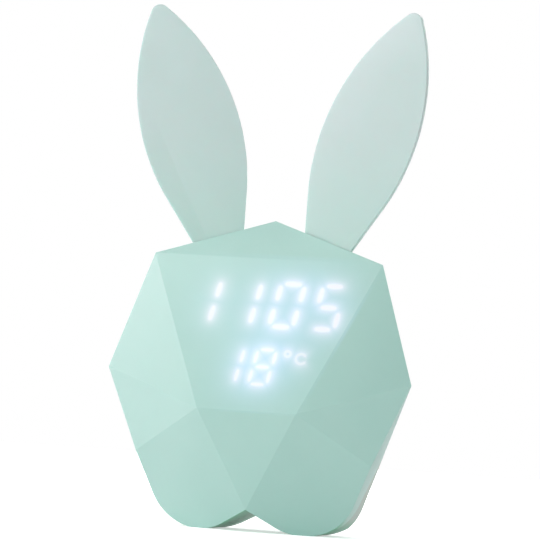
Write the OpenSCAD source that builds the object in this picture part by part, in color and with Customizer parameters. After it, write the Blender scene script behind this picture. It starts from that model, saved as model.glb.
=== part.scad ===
// Long-eared bedside alarm clock with a faceted body, glowing numerals and a night light.
// Millimetres. X to the right, Y to the back, Z up. The origin is on the ground,
// under the middle of the body.

/* [Body facets] */
// Width across the cheeks
body_w = 118; // [114:0.5:124]
// Depth from the chin to the flat back
body_d = 58; // [57:0.5:62]
// Height of the forehead's peak
peak_h = 119; // [118:0.5:122]
// Distance of the forehead's peak behind the chin
peak_back = 27.2; // [26:0.2:28]
// Width across the brow corners
brow_w = 89; // [87:0.5:92]
// Height of the brow corners
brow_h = 103.8; // [103:0.2:106]
// Distance of the brow corners behind the chin
brow_back = 18.6; // [18:0.2:19.6]
// Height of the cheek corners
cheek_h = 58.9; // [56:0.2:62]
// Distance of the cheek corners behind the chin
cheek_back = 15.7; // [14.6:0.1:16.6]
// Width across the chin
chin_w = 38; // [36:0.5:41]
// Height of the chin
chin_h = 45.2; // [44:0.2:46]
// Width across the waist, where the cheeks run into the feet
waist_w = 91.6; // [90:0.2:93]
// Height of the waist
waist_h = 27.8; // [26.8:0.1:28.8]
// Distance of the waist behind the chin
waist_back = 15.5; // [15:0.1:16.2]
// Width of the flat back at its widest
back_w = 68; // [66:0.5:72]
// Height of the flat back's widest place
back_h = 60; // [57:0.5:63]
// Width of the flat back near its top
back_top_w = 28; // [26:0.5:32]
// Height of the flat back's upper corners
back_top_h = 98; // [96:0.5:100]

/* [Feet] */
// Height of the notch between the feet
notch_h = 8.3; // [7:0.1:10]
// Distance of the notch behind the chin
notch_back = 10.1; // [9:0.1:11]
// Slope of the notch's sides
notch_slope = 30; // [26:1:34]
// Radius of a foot
foot_r = 20.5; // [20:0.1:21.2]
// Depth that the round feet are cut flat
foot_flat = 0.3; // [0.2:0.05:0.5]
// Width across the feet at their back corners
heel_w = 77; // [75:0.5:79]
// Distance of the feet's back corners from the flat back
heel_in = 17; // [16:0.5:18]
// Height of the feet's back corners
heel_h = 9; // [8:0.5:10]
// Length of the slope under the flat back
heel_cut = 9; // [7:0.5:10]
// Height of the slope under the flat back
heel_rise = 12; // [10:0.5:13]
// Width of a foot pad
pad_w = 6; // [5:0.5:7]
// Distance of a foot pad's ends from the seam and from the slope behind it
pad_l = 2.4; // [2:0.1:3]
// Thickness of a foot pad
pad_t = 1.2; // [0.8:0.1:1.4]

/* [Shells] */
// Thickness of the soft front skin
skin_t = 1.8; // [1.4:0.1:2]
// Thickness of the front shell under the skin
shell_t = 2; // [1.6:0.1:2.2]
// Thickness of the back shell
back_t = 2.2; // [1.8:0.1:2.6]
// Distance of the seam between front and back behind the ears' tongues
seam_y = 1.6; // [1.4:0.1:1.8]
// Length of the back shell's lip inside the front shell
lip_l = 3; // [2:0.5:3.5]
// Thickness of the lip
lip_t = 1.5; // [1.2:0.1:1.8]
// Gap between parts that are laid together
fit_gap = 0.1; // [0.06:0.02:0.14]

/* [Ears] */
// Thickness of an ear
ear_t = 2.6; // [2.4:0.1:3]
// Distance of an ear behind the forehead's edge
ear_set = 0.6; // [0.5:0.1:1]
// Distance of an ear's straight inner side from the middle
ear_inner = 12.2; // [11:0.2:13]
// Height where the inner side begins to curve
ear_bend_h = 129.5; // [127:0.5:132]
// Radius of the inner side
ear_inner_r = 85.4; // [82:0.2:88]
// Distance of the ear's outermost place from the middle
ear_outer = 57.7; // [56.5:0.1:59]
// Height of the ear's outermost place
ear_outer_h = 172.5; // [170:0.5:175]
// Radius of the outer side
ear_outer_r = 83.6; // [81:0.2:86]
// Height where the outer side turns straight
ear_straight_h = 125; // [123:0.5:128]
// Radius of the ear's tip
ear_tip_r = 3.5; // [3:0.1:4.5]
// Width of the tongue that holds the ear
tang_w = 14; // [12:0.5:15]
// Distance of the tongue's middle from the peak, along the forehead's edge
tang_at = 21; // [20.5:0.1:21.5]
// Depth of the tongue under the forehead's edge
tang_l = 13.2; // [12.8:0.1:13.4]
// Height of the clamp bar that holds the tongue
clamp_h = 4.2; // [3.8:0.1:4.4]
// Thickness of the clamp bar
clamp_t = 3; // [2.4:0.1:3.2]
// Distance between the clamp bar's screws
clamp_pitch = 20; // [19.5:0.1:20.4]

/* [Display] */
// Hours shown
hours = 11; // [10:1:23]
// Minutes shown
minutes = 5; // [0:1:59]
// Degrees shown
degrees = 18; // [10:1:39]
// Height of a time digit between the middles of its bars
time_h = 17.5; // [16.5:0.1:18]
// Width of a time digit between the middles of its bars
time_w = 9.1; // [8.6:0.1:9.4]
// Distance from one time digit to the next
time_pitch = 15.8; // [15.4:0.1:16]
// Extra distance for the two dots
colon_w = 1; // [0.6:0.1:1.2]
// Place of the time's middle to the right of the body's middle
time_x = 1.7; // [1:0.1:2]
// Height of the time's middle above the chin, along the facet
time_v = 42.8; // [42.2:0.1:43.2]
// Height of a temperature digit between the middles of its bars
temp_h = 13.9; // [13:0.1:14.2]
// Width of a temperature digit between the middles of its bars
temp_w = 7.4; // [7:0.1:7.6]
// Distance from one temperature digit to the next
temp_pitch = 12.4; // [12:0.1:12.6]
// Place of the temperature digits' middle to the right of the body's middle
temp_x = -2.3; // [-2.7:0.1:-2]
// Height of the temperature's middle above the chin, along the facet
temp_v = 17.8; // [17.4:0.1:18.2]
// Lean of the numerals
lean = 9.5; // [7:0.5:11]
// Width of a bar
bar_w = 1.3; // [1:0.1:1.5]
// Thickness of the display's housing
housing_t = 5; // [4.5:0.1:5.2]
// Thickness of the display's film
film_t = 0.3; // [0.2:0.05:0.4]
// Room around the numerals inside the housing
housing_rim = 1.8; // [1.5:0.1:2]
// Thickness of the circuit boards
board_t = 1.6; // [1.2:0.1:1.8]

/* [Back] */
// Height of the row of buttons
button_h = 64; // [62.5:0.5:65]
// Distance between the buttons
button_pitch = 13; // [12:0.1:13.4]
// Diameter of a button
button_d = 7.6; // [7:0.1:8]
// Travel of a button
button_travel = 0.6; // [0.4:0.05:0.7]
// Depth of the hollow that holds the buttons
panel_in = 1.2; // [0.8:0.1:1.4]
// Height of the loudspeaker
speaker_h = 44; // [43.6:0.1:44.6]
// Diameter of the loudspeaker
speaker_d = 20; // [18:0.5:20]
// Diameter of a loudspeaker hole
grille_d = 1.6; // [1.2:0.1:1.8]
// Height of the charging socket and the slide switch
socket_h = 24; // [23:0.5:25]
// Width of the charging socket
socket_w = 9; // [8.8:0.1:9.4]
// Thickness of the charging socket
socket_t = 3.3; // [3.1:0.1:3.6]
// Travel of the slide switch
slider_travel = 2.5; // [2:0.1:2.8]
// Height of the night light's middle
light_h = 86; // [85.6:0.1:86.5]
// Diameter of the night light's reflector
light_d = 23; // [21:0.5:23.5]

/* [Inside] */
// Width of the main board
board_w = 54; // [52:0.5:54]
// Height of the main board's lower edge
board_low = 16; // [15.5:0.5:17]
// Height of the main board's shoulders
board_high = 76; // [75.5:0.5:76.5]
// Distance of the main board's back from the flat back
board_in = 10; // [9.8:0.1:10.2]
// Width and height of the battery
battery_w = 38; // [34:1:38]
// Thickness of the battery
battery_t = 8; // [6:0.5:9]
// Height of the battery's lower edge
battery_low = 26; // [25:0.5:28]
// Distance of the lower case screws from the middle
foot_screw_x = 33; // [32.6:0.1:33.2]
// Height of the lower case screws
foot_screw_h = 24; // [23:0.5:25]
// Distance of the side case screws inside the cheek corners
side_screw_x = 16; // [15:0.5:17]
// Height of the side case screws
side_screw_h = 60; // [58.5:0.5:61]
// Diameter of a case screw
screw_d = 3; // [2.6:0.1:3]

/* [Hidden] */
$fn = 64;
span = 300;
core = [0, 0, 60];

mint = [0.74, 0.86, 0.83];
milk = [0.86, 0.87, 0.85];
white = [0.93, 0.93, 0.92];
black = [0.12, 0.12, 0.13];
board_green = [0.12, 0.35, 0.22];
steel = [0.72, 0.73, 0.75];

// The body's corners, on the right-hand side
front_y = -body_d / 2;
back_y = body_d / 2;
peak = [0, front_y + peak_back, peak_h];
brow = [brow_w / 2, front_y + brow_back, brow_h];
cheek = [body_w / 2, front_y + cheek_back, cheek_h];
chin = [chin_w / 2, front_y, chin_h];
waist = [waist_w / 2, front_y + waist_back, waist_h];
notch = [0, front_y + notch_back, notch_h];
heel = [heel_w / 2, back_y - heel_in, heel_h];
back_side = [back_w / 2, back_y, back_h];
back_top = [back_top_w / 2, back_y, back_top_h];

function other_side(p) = [-p.x, p.y, p.z];

// Facets that both sides share, then those of the right-hand side and their mirror images
middle_facets = [
    [peak, brow, other_side(brow)],
    [brow, other_side(brow), chin],
    [chin, other_side(chin), notch],
    [back_side, other_side(back_side), back_top],
    [[0, back_y - heel_cut, 0], [1, back_y - heel_cut, 0], [0, back_y, heel_rise]],
    [[0, 0, 0], [1, 0, 0], [0, 1, 0]]];
right_facets = [
    [brow, cheek, chin],
    [cheek, waist, chin],
    [chin, waist, notch],
    [peak, brow, back_top],
    [brow, back_side, back_top],
    [brow, cheek, back_side],
    [cheek, heel, back_side]];
left_facets = [for (f = right_facets) [for (p = f) other_side(p)]];
facets = concat(middle_facets, right_facets, left_facets);

function outward(f) =
    let(n = cross(f[1] - f[0], f[2] - f[0]), u = n / norm(n))
    (f[0] - core) * u > 0 ? u : -u;

module behind_facet(f, inset) {
    n = outward(f);
    translate(f[0] - n * inset)
        rotate([0, acos(n.z), atan2(n.y, n.x)])
            translate([0, 0, -span])
                cube(2 * span, center = true);
}

// The outline of the cheeks and feet, seen from the front
side_dir = [cheek.x - waist.x, cheek.z - waist.z] / norm([cheek.x - waist.x, cheek.z - waist.z]);
side_out = [side_dir.y, -side_dir.x];
notch_out = [-sin(notch_slope), -cos(notch_slope)];
foot_c = [(foot_r - cos(notch_slope) * (foot_r - foot_flat - notch_h)) / sin(notch_slope),
    foot_r - foot_flat];
waist_xz = [waist.x, waist.z];
// The straight sides end just inside the round foot, so that they cross its circle
foot_bite = 0.03;
foot_turn = let(v = foot_c - waist_xz) atan2(v.y, v.x) + asin(foot_r / norm(v)) + 90;
foot_out = [cos(foot_turn), sin(foot_turn)];

module right_outline(inset) {
    corner = waist_xz - (side_out + foot_out) * inset / (1 + side_out * foot_out);
    round_r = foot_r - inset;
    polygon([corner, corner + side_dir * span, [0, span], [0, notch_h + inset / cos(notch_slope)],
        foot_c + notch_out * (round_r - foot_bite), foot_c, foot_c + foot_out * (round_r - foot_bite)]);
    translate(foot_c)
        circle(round_r);
}

module outline(inset) {
    for (side = [0, 1])
        mirror([side, 0])
            right_outline(inset);
}

// The whole body, with every face moved in by the inset
module gem(inset) {
    intersection() {
        rotate([90, 0, 0])
            linear_extrude(height = 2 * span, center = true)
                outline(inset);
        intersection_for (f = facets)
            behind_facet(f, inset);
    }
}

module before(y) {
    translate([-span, y - 2 * span, -span])
        cube(2 * span);
}

module beyond(y) {
    translate([-span, y, -span])
        cube(2 * span);
}

// A cylinder along Y from one place to the other
module rod(x, z, r, y0, y1) {
    translate([x, y1, z])
        rotate([90, 0, 0])
            cylinder(h = y1 - y0, r = r);
}

module block(x, z, w, h, y0, y1) {
    translate([x - w / 2, y0, z - h / 2])
        cube([w, y1 - y0, h]);
}

// A bar with round ends, seen along Y
module stadium(x, z, w, h, y0, y1) {
    r = min(w, h) / 2;
    block(x, z, w > h ? w - h : w, w > h ? h : h - w, y0, y1);
    for (end = [-1, 1])
        rod(x + (w > h ? end * (w / 2 - r) : 0), z + (w > h ? 0 : end * (h / 2 - r)), r, y0, y1);
}

/* Ears: their turn, the slope of the forehead's edge, and the seam behind their tongues */
ear_yaw = atan2(peak_back - brow_back, brow.x);
edge_drop = atan2(peak_h - brow_h, norm([brow.x, peak_back - brow_back]));
slot_gap = 0.2;
tongue_near = (tang_at - tang_w / 2 - slot_gap) * cos(edge_drop) - tang_l * sin(edge_drop);
tongue_back = peak.y + ear_set + (ear_t + slot_gap) * cos(ear_yaw) - tongue_near * sin(ear_yaw);
seam = tongue_back + seam_y;

shell_in = skin_t + fit_gap;
shell_out = shell_in + shell_t;
boss_in = shell_in + shell_t / 2;

side_place = cheek.x - side_screw_x;
case_places = [[side_place, side_screw_h], [-side_place, side_screw_h],
    [foot_screw_x, foot_screw_h], [-foot_screw_x, foot_screw_h]];
screw_r = screw_d / 2;
screw_head_r = screw_d * 0.93;
screw_head_t = 2;
cross_w = 0.8;
screw_l = 10.6;
seat_in = 3;
bore_end = 0.4;
seat_y = seam + seat_in;
boss_wall = 2;
boss_r = screw_r + boss_wall;
tube_wall = 1.6;
tube_r = screw_head_r + tube_wall;
head_gap = 0.2;

ear_outer_c = [ear_outer - ear_outer_r, ear_outer_h];
ear_inner_c = [ear_inner + ear_inner_r, ear_bend_h];

// Upper meeting place of two circles
function meeting(c0, r0, c1, r1) =
    let(d = norm(c1 - c0), a = (r0 * r0 - r1 * r1 + d * d) / (2 * d),
        u = (c1 - c0) / d, h = sqrt(r0 * r0 - a * a))
    c0 + u * a + [-u.y, u.x] * h;

tip_c = meeting(ear_outer_c, ear_outer_r - ear_tip_r, ear_inner_c, ear_inner_r - ear_tip_r);
tip_out = tip_c + (tip_c - ear_outer_c) / norm(tip_c - ear_outer_c) * ear_tip_r;
tip_in = tip_c + (tip_c - ear_inner_c) / norm(tip_c - ear_inner_c) * ear_tip_r;
tip_turn = atan2(tip_out.y - tip_in.y, tip_out.x - tip_in.x);
straight_in = 0.05;
straight_top = let(z = ear_straight_h - ear_outer_h, x = sqrt(pow(ear_outer_r, 2) - z * z))
    ear_outer_c + [x, z] * (1 - straight_in / ear_outer_r);
straight_dir = let(d = straight_top - ear_outer_c) [d.y, -d.x] / norm(d);
ear_root = 10;
ear_foot_h = brow_h - ear_root;
straight_l = 40;
tip_cut = 40;
tongue_root = 1.5;

module ear_outline() {
    difference() {
        intersection() {
            union() {
                translate(ear_outer_c)
                    circle(ear_outer_r);
                polygon([straight_top, straight_top + straight_dir * straight_l,
                    [0, ear_foot_h], [0, ear_straight_h]]);
            }
            union() {
                translate(ear_inner_c)
                    circle(ear_inner_r);
                translate([ear_inner, ear_foot_h])
                    square([ear_inner_r / 2, ear_bend_h - ear_foot_h]);
            }
        }
        translate(tip_in)
            rotate(tip_turn)
                translate([-tip_cut / 2, 0])
                    square(tip_cut);
    }
    translate(tip_c)
        circle(ear_tip_r);
}

// An ear's own place: its front is y = 0 and it stands along the forehead's edge
module at_ear(side) {
    mirror([side < 0 ? 1 : 0, 0, 0])
        translate([0, peak.y + ear_set, 0])
            rotate([0, 0, -ear_yaw])
                children();
}

// Along the sloping edge: x from the peak outwards, z up from the edge
module at_edge(side) {
    at_ear(side)
        translate([0, 0, peak_h])
            rotate([0, edge_drop, 0])
                children();
}

module tang(clear, top) {
    translate([tang_at - tang_w / 2 - clear, -clear, -tang_l - clear])
        cube([tang_w + 2 * clear, ear_t + 2 * clear, tang_l + clear + top]);
}

module ear(side) {
    color(mint) {
        difference() {
            at_ear(side)
                translate([0, ear_t, 0])
                    rotate([90, 0, 0])
                        linear_extrude(height = ear_t)
                            ear_outline();
            gem(-fit_gap);
        }
        at_edge(side)
            tang(0, tongue_root);
    }
}

clamp_low = -tang_l - slot_gap;
clamp_y = ear_t + fit_gap;
clamp_z = clamp_low + clamp_h / 2;
clamp_screw_r = 1;
clamp_screw_l = 6.6;
clamp_bore_end = 1.3;
clamp_seat_l = 3;
clamp_room = [4, 4, 5.8];
lip_keep = 2;
clamp_head_r = 1.7;
clamp_head_t = 1.4;
clamp_boss_r = 2.4;
fit_rib = 1;
bore_gap = 0.05;

module clamp_places(side) {
    at_edge(side)
        for (end = [-1, 1])
            translate([tang_at + end * clamp_pitch / 2, 0, clamp_z])
                rotate([-90, 0, 0])
                    children();
}

module ear_clamp(side) {
    color(white)
        difference() {
            at_edge(side)
                translate([tang_at - clamp_pitch / 2 - clamp_boss_r, clamp_y, clamp_low])
                    cube([clamp_pitch + 2 * clamp_boss_r, clamp_t, clamp_h]);
            clamp_places(side)
                cylinder(h = span, r = clamp_screw_r + bore_gap, center = true);
        }
}

module ear_screws() {
    color(steel)
        for (side = [-1, 1])
            clamp_places(side) {
                translate([0, 0, clamp_y + clamp_t - clamp_screw_l])
                    cylinder(h = clamp_screw_l, r = clamp_screw_r);
                translate([0, 0, clamp_y + clamp_t])
                    cylinder(h = clamp_head_t, r = clamp_head_r);
            }
}

/* Display: its own place has x across, z up the facet and y into the body */
display_tilt = atan2(brow_back, brow_h - chin_h);
film_y = shell_out + fit_gap;
housing_y = film_y + film_t + fit_gap;
display_board_y = housing_y + housing_t;
time_half = (3 * time_pitch + colon_w + time_w) / 2;
temp_half = (temp_pitch + temp_w) / 2;
degree_gap = 5.1;
degree_x = temp_x + temp_half + degree_gap;
degree_r = 1.2;
degree_w = 0.8;
degree_v = temp_v + temp_h / 2 - degree_r;
unit_gap = 5.5;
unit_x = degree_x + unit_gap;
unit_r = 2;
unit_w = 0.9;
unit_drop = 2.9;
unit_v = temp_v + temp_h / 2 - unit_drop;
bar_gap = 2.4;
time_digits = [floor(hours / 10), hours % 10, floor(minutes / 10), minutes % 10];
temp_digits = [floor(degrees / 10), degrees % 10];

// Bars of a digit: place across and up in half digits, and 1 where the bar stands
bars = [[0, 1, 0], [1, 0.5, 1], [1, -0.5, 1], [0, -1, 0], [-1, -0.5, 1], [-1, 0.5, 1], [0, 0, 0]];
// Bars that each digit from 0 to 9 lights
shown = [[0, 1, 2, 3, 4, 5], [1, 2], [0, 1, 3, 4, 6], [0, 1, 2, 3, 6], [1, 2, 5, 6],
    [0, 2, 3, 5, 6], [0, 2, 3, 4, 5, 6], [0, 1, 2], [0, 1, 2, 3, 4, 5, 6], [0, 1, 2, 3, 5, 6]];

function is_lit(digit, bar) = len([for (b = shown[digit]) if (b == bar) b]) > 0;
function leaned(x, v, middle) = [x + (v - middle) * tan(lean), v];

module at_display() {
    translate([0, front_y, chin_h])
        rotate([-display_tilt, 0, 0])
            children();
}

module bar(length, width, y0, y1) {
    stadium(0, 0, length, width, y0, y1);
}

// One digit; which = 1 draws its lit bars, 0 its dark bars and 2 all of them
module digit(value, x, v, w, h, which, width, y0, y1) {
    for (b = [0:6])
        if (which == 2 || is_lit(value, b) == (which == 1)) {
            place = leaned(x + bars[b][0] * w / 2, v + bars[b][1] * h / 2, v);
            translate([place.x, 0, place.y])
                rotate([0, bars[b][2] == 1 ? lean - 90 : 0, 0])
                    bar((bars[b][2] == 1 ? h / 2 : w) - bar_gap + width - bar_w, width, y0, y1);
        }
}

module dots(width, y0, y1) {
    for (v = [-1, 1]) {
        place = leaned(time_x, time_v + v * time_h / 4, time_v);
        rod(place.x, place.y, width / 2, y0, y1);
    }
}

module ring(x, z, r, width, y0, y1) {
    difference() {
        rod(x, z, r + width / 2, y0, y1);
        rod(x, z, r - width / 2, y0 - 1, y1 + 1);
    }
}

// The degree ring and the open ring of the unit
module unit_marks(width, y0, y1) {
    ring(degree_x, degree_v, degree_r, degree_w + width - bar_w, y0, y1);
    difference() {
        ring(unit_x, unit_v, unit_r, unit_w + width - bar_w, y0, y1);
        block(unit_x + unit_r, unit_v, 2 * unit_r, unit_r, y0 - 1, y1 + 1);
    }
}

module numerals(which, width, y0, y1) {
    for (k = [0:3])
        digit(time_digits[k], time_x + (k - 1.5) * time_pitch + (k < 2 ? -0.5 : 0.5) * colon_w,
            time_v, time_w, time_h, which, width, y0, y1);
    for (k = [0:1])
        digit(temp_digits[k], temp_x + (k - 0.5) * temp_pitch, temp_v, temp_w, temp_h,
            which, width, y0, y1);
    if (which == 1)
        unit_marks(width, y0, y1);
    if (which != 1)
        dots(width, y0, y1);
}

// The two fields of the display, with their rim
module fields(rim, y0, y1) {
    block(time_x, time_v, 2 * (time_half + rim + time_h / 2 * tan(lean)), time_h + 2 * rim, y0, y1);
    translate([(temp_x - temp_half + unit_x + unit_r) / 2, 0, temp_v])
        block(0, 0, unit_x + unit_r - temp_x + temp_half + 2 * rim, temp_h + 2 * rim, y0, y1);
}

display_boss_r = 2.4;
display_boss_gap = 0.5;
display_screw_r = 1;
display_head_r = 1.8;
display_head_t = 1.2;
display_screw_x = time_x + time_half + time_h / 2 * tan(lean) + housing_rim + display_boss_gap
    + display_boss_r;
display_screw_low = 8.8;
display_screw_high = 4.7;
display_screws_at = [for (x = [-1, 1], v = [-display_screw_low, display_screw_high])
    [x * display_screw_x, time_v + v]];

module display_holes(r, y0, y1) {
    for (p = display_screws_at)
        rod(p.x, p.y, r, y0, y1);
}

module display_film() {
    color([0.8, 0.85, 0.85, 0.6])
        at_display()
            fields(housing_rim, film_y, film_y + film_t);
}

neck_t = 2;
window_step = 1;
module segment_housing() {
    color(white)
        at_display()
            difference() {
                union() {
                    fields(housing_rim, housing_y, display_board_y - fit_gap);
                    block(temp_x, (time_v + temp_v) / 2, temp_pitch, time_v - temp_v,
                        display_board_y - fit_gap - neck_t, display_board_y - fit_gap);
                }
                numerals(2, bar_w + 2 * bore_gap, housing_y - 1, display_board_y + 1);
                unit_marks(bar_w + 2 * bore_gap, housing_y - 1, housing_y + segment_t + bore_gap);
            }
}

segment_t = 3.2;
module lit_segments() {
    color([0.85, 0.95, 1])
        at_display()
            numerals(1, bar_w, housing_y, housing_y + segment_t);
}

module dark_segments() {
    color([0.75, 0.8, 0.8])
        at_display()
            numerals(0, bar_w, housing_y, housing_y + segment_t);
}

led_l = 1.6;
led_w = 0.8;
led_t = 0.8;
module bar_leds(x, v, w, h) {
    for (b = bars) {
        place = leaned(x + b[0] * w / 2, v + b[1] * h / 2, v);
        translate([place.x, 0, place.y])
            rotate([0, b[2] == 1 ? lean - 90 : 0, 0])
                block(0, 0, led_l, led_w, display_board_y - led_t, display_board_y);
    }
}

module display_leds() {
    color([0.95, 0.95, 0.8])
        at_display() {
            for (k = [0:3])
                bar_leds(time_x + (k - 1.5) * time_pitch + (k < 2 ? -0.5 : 0.5) * colon_w,
                    time_v, time_w, time_h);
            for (k = [0:1])
                bar_leds(temp_x + (k - 0.5) * temp_pitch, temp_v, temp_w, temp_h);
        }
}

display_board_edge = 1.9;
display_board_w = 2 * (display_screw_x + display_board_edge);
display_board_low_w = 46;
display_board_top = 0.5;
display_board_drop = 2.5;
display_tab_w = 14;
display_tab_h = 3;
module display_board() {
    color(board_green)
        at_display()
            difference() {
                union() {
                    block(0, time_v + (display_board_top - display_board_drop) / 2, display_board_w,
                        time_h + display_board_top + display_board_drop,
                        display_board_y, display_board_y + board_t);
                    block(cable_x, (time_v + temp_v - temp_h / 2 - housing_rim) / 2, display_board_low_w,
                        time_v - temp_v + temp_h / 2 + housing_rim,
                        display_board_y, display_board_y + board_t);
                    block(cable_x, temp_v - temp_h / 2, display_tab_w, display_tab_h,
                        display_board_y, display_board_y + board_t);
                }
                display_holes(display_screw_r + bore_gap, 0, span);
            }
}

display_screw_l = 6.4;
module display_screws() {
    top = display_board_y + board_t;
    color(steel)
        at_display() {
            display_holes(display_screw_r, top - display_screw_l, top);
            display_holes(display_head_r, top, top + display_head_t);
        }
}

/* Main board and what it carries */
post_in = 3.4;
post_up = 18;
post_down = 3;
board_back = back_y - board_in;
board_front = board_back - board_t;
inner_back = back_y - back_t;
post_x = board_w / 2 - post_in;
board_posts = [for (x = [-1, 1], z = [board_low + post_up, board_high - post_down]) [x * post_x, z]];
post_r = 2.6;
post_screw_r = 1;
post_screw_l = 4;
post_head_r = 1.9;
post_head_t = 1.2;
light_board_rim = 1.5;
board_lap = 1;

module main_board() {
    color(board_green)
        difference() {
            union() {
                block(0, (board_low + board_high) / 2, board_w, board_high - board_low,
                    board_front, board_back);
                block(0, (board_high + light_h + light_d / 2) / 2, light_d + 2 * light_board_rim,
                    light_h + light_d / 2 - board_high + 2 * board_lap, board_front, board_back);
            }
            for (p = board_posts)
                rod(p.x, p.y, post_screw_r + bore_gap, board_front - 1, board_back + 1);
        }
}

module board_screws() {
    color(steel)
        for (p = board_posts) {
            rod(p.x, p.y, post_screw_r, board_front, board_back + post_screw_l);
            rod(p.x, p.y, post_head_r, board_front - post_head_t, board_front);
        }
}

chip_w = 9;
chip_t = 1.4;
leg_l = 0.9;
leg_lap = 0.1;
leg_w = 0.4;
leg_t = 0.6;
leg_pitch = 1.1;
module controller_chip() {
    color(black) {
        block(0, speaker_h, chip_w, chip_w, board_back, board_back + chip_t);
        for (side = [-1, 1], k = [-3:3])
            block(side * (chip_w + leg_l) / 2, speaker_h + k * leg_pitch, leg_l + 2 * leg_lap, leg_w,
                board_back, board_back + leg_t);
    }
}

crystal_place = [-14, 6];
crystal_l = 8;
crystal_w = 3.6;
crystal_t = 2.4;
module clock_crystal() {
    color(steel)
        stadium(crystal_place.x, speaker_h + crystal_place.y, crystal_l, crystal_w,
            board_back, board_back + crystal_t);
}

sensor_x = -18;
vent_w = 8;
vent_t = 1.2;
vent_pitch = 2.4;
sensor_w = 3;
sensor_t = 1.2;
sensor_tip_r = 1;
sensor_tip_t = 0.8;
module temperature_sensor() {
    color(black) {
        block(sensor_x, socket_h, sensor_w, sensor_w, board_back, board_back + sensor_t);
        rod(sensor_x, socket_h, sensor_tip_r, board_back + sensor_t,
            board_back + sensor_t + sensor_tip_t);
    }
}

tape_t = 0.5;
battery_back = board_front - tape_t;
battery_z = battery_low + battery_w / 2;
battery_fold = 3;
module battery() {
    color([0.72, 0.75, 0.78]) {
        block(0, battery_z - battery_fold / 2, battery_w, battery_w - battery_fold,
            battery_back - battery_t, battery_back);
        block(0, battery_z + battery_w / 2 - battery_fold / 2, battery_w - battery_fold, battery_fold,
            battery_back - battery_t * 0.7, battery_back - battery_t * 0.3);
    }
}

module battery_tape() {
    color(black)
        block(0, battery_z, battery_w * 0.8, battery_w * 0.6, battery_back, board_front);
}

plug_x = -13;
lead_l = 2.5;
lead_r = 0.6;
lead_pitch = 2.4;
plug_low = battery_low + battery_w + lead_l;
plug_w = 6;
plug_h = 4.5;
plug_t = 5;
module battery_plug() {
    color(white)
        block(plug_x, plug_low + plug_h / 2, plug_w, plug_h, board_front - plug_t, board_front);
}

module battery_leads() {
    color("firebrick")
        for (side = [-1, 1])
            translate([plug_x + side * lead_pitch / 2, board_front - plug_t / 2, battery_low + battery_w])
                cylinder(h = lead_l, r = lead_r);
}

// The flat cable runs from the display board, under the battery, to the main board
cable_w = 12;
cable_t = 0.4;
cable_x = 4;
cable_up = 5;
cable_low = board_low + cable_up;
function tilted(y, v) = [front_y + y * cos(display_tilt) + v * sin(display_tilt),
    chin_h - y * sin(display_tilt) + v * cos(display_tilt)];
cable_down = 4;
cable_out = 3;
cable_bend_y = -8;
cable_path = [tilted(display_board_y + board_t, temp_v - cable_down),
    tilted(display_board_y + board_t + cable_out, temp_v - cable_down),
    [cable_bend_y, cable_low], [board_front, cable_low]];

module flat_run(p, q) {
    translate(p)
        rotate(atan2(q.y - p.y, q.x - p.x))
            translate([0, -cable_t / 2])
                square([norm(q - p), cable_t]);
}

module ribbon_cable() {
    color(white)
        translate([cable_x - cable_w / 2, 0, 0])
            rotate([90, 0, 90])
                linear_extrude(height = cable_w)
                    intersection() {
                        union() {
                            for (k = [0:2])
                                flat_run(cable_path[k], cable_path[k + 1]);
                            for (k = [1:2])
                                translate(cable_path[k])
                                    circle(cable_t / 2);
                        }
                        translate([-span + board_front, 0])
                            square(span);
                    }
}

socket_in = 1;
socket_mouth = back_y - socket_in;
socket_wall = 0.35;
socket_floor = 2.5;
blade_t = 0.7;
blade_gap = 1.2;
blade_in = 0.8;
module charge_socket() {
    color(steel)
        difference() {
            stadium(0, socket_h, socket_w, socket_t, board_back, socket_mouth);
            difference() {
                stadium(0, socket_h, socket_w - 2 * socket_wall, socket_t - 2 * socket_wall,
                    board_back + socket_floor, socket_mouth + 1);
                block(0, socket_h, socket_w - 2 * blade_gap, blade_t, board_back, socket_mouth - blade_in);
            }
        }
}

/* Loudspeaker */
ring_t = 1.2;
ring_gap = 0.15;
gasket_t = 0.4;
speaker_t = 3.8;
basket_t = 2;
cone_t = 0.6;
ring_l = 2.4;
speaker_r = speaker_d / 2;
speaker_back = inner_back - gasket_t;

module speaker() {
    color(black)
        difference() {
            union() {
                rod(0, speaker_h, speaker_r, speaker_back - basket_t, speaker_back);
                rod(0, speaker_h, speaker_r * 0.72, speaker_back - speaker_t, speaker_back - basket_t);
            }
            rod(0, speaker_h, speaker_r * 0.8, speaker_back - cone_t, speaker_back + 1);
        }
}

module speaker_gasket() {
    color(black)
        difference() {
            rod(0, speaker_h, speaker_r, speaker_back, inner_back);
            rod(0, speaker_h, speaker_r * 0.84, speaker_back - 1, inner_back + 1);
        }
}

/* Buttons, from left to right as seen from the front */
switch_w = 6;
switch_t = 3.5;
switch_top = board_back + switch_t;
plunger_r = 1.7;
cap_t = 1.2;
cap_lip = 0.8;
panel_floor = back_y - panel_in;
panel_under = panel_floor - back_t;
cap_gap = 0.2;
cap_under = panel_under - cap_gap - cap_t;
cap_in = 0.3;
panel_rim = 3.7;
panel_h = button_d + 2 * panel_rim;
panel_w = 3 * button_pitch + panel_h;
sign_l = 3;
sign_w = 0.6;
sign_dot_r = 0.8;
sign_ring_r = 1.4;
switch_floor = 1;
sign_floor = back_y - 2 * cap_in;

function button_x(k) = (k - 1.5) * button_pitch;

module switch_bodies() {
    color(black)
        for (k = [0:3])
            difference() {
                block(button_x(k), button_h, switch_w, switch_w, board_back, switch_top);
                rod(button_x(k), button_h, plunger_r + cap_gap, board_back + switch_floor, switch_top + 1);
            }
}

module plunger(k) {
    color(steel)
        rod(button_x(k), button_h, plunger_r, board_back + switch_floor + fit_gap + button_travel,
            cap_under - bore_gap);
}

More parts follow.
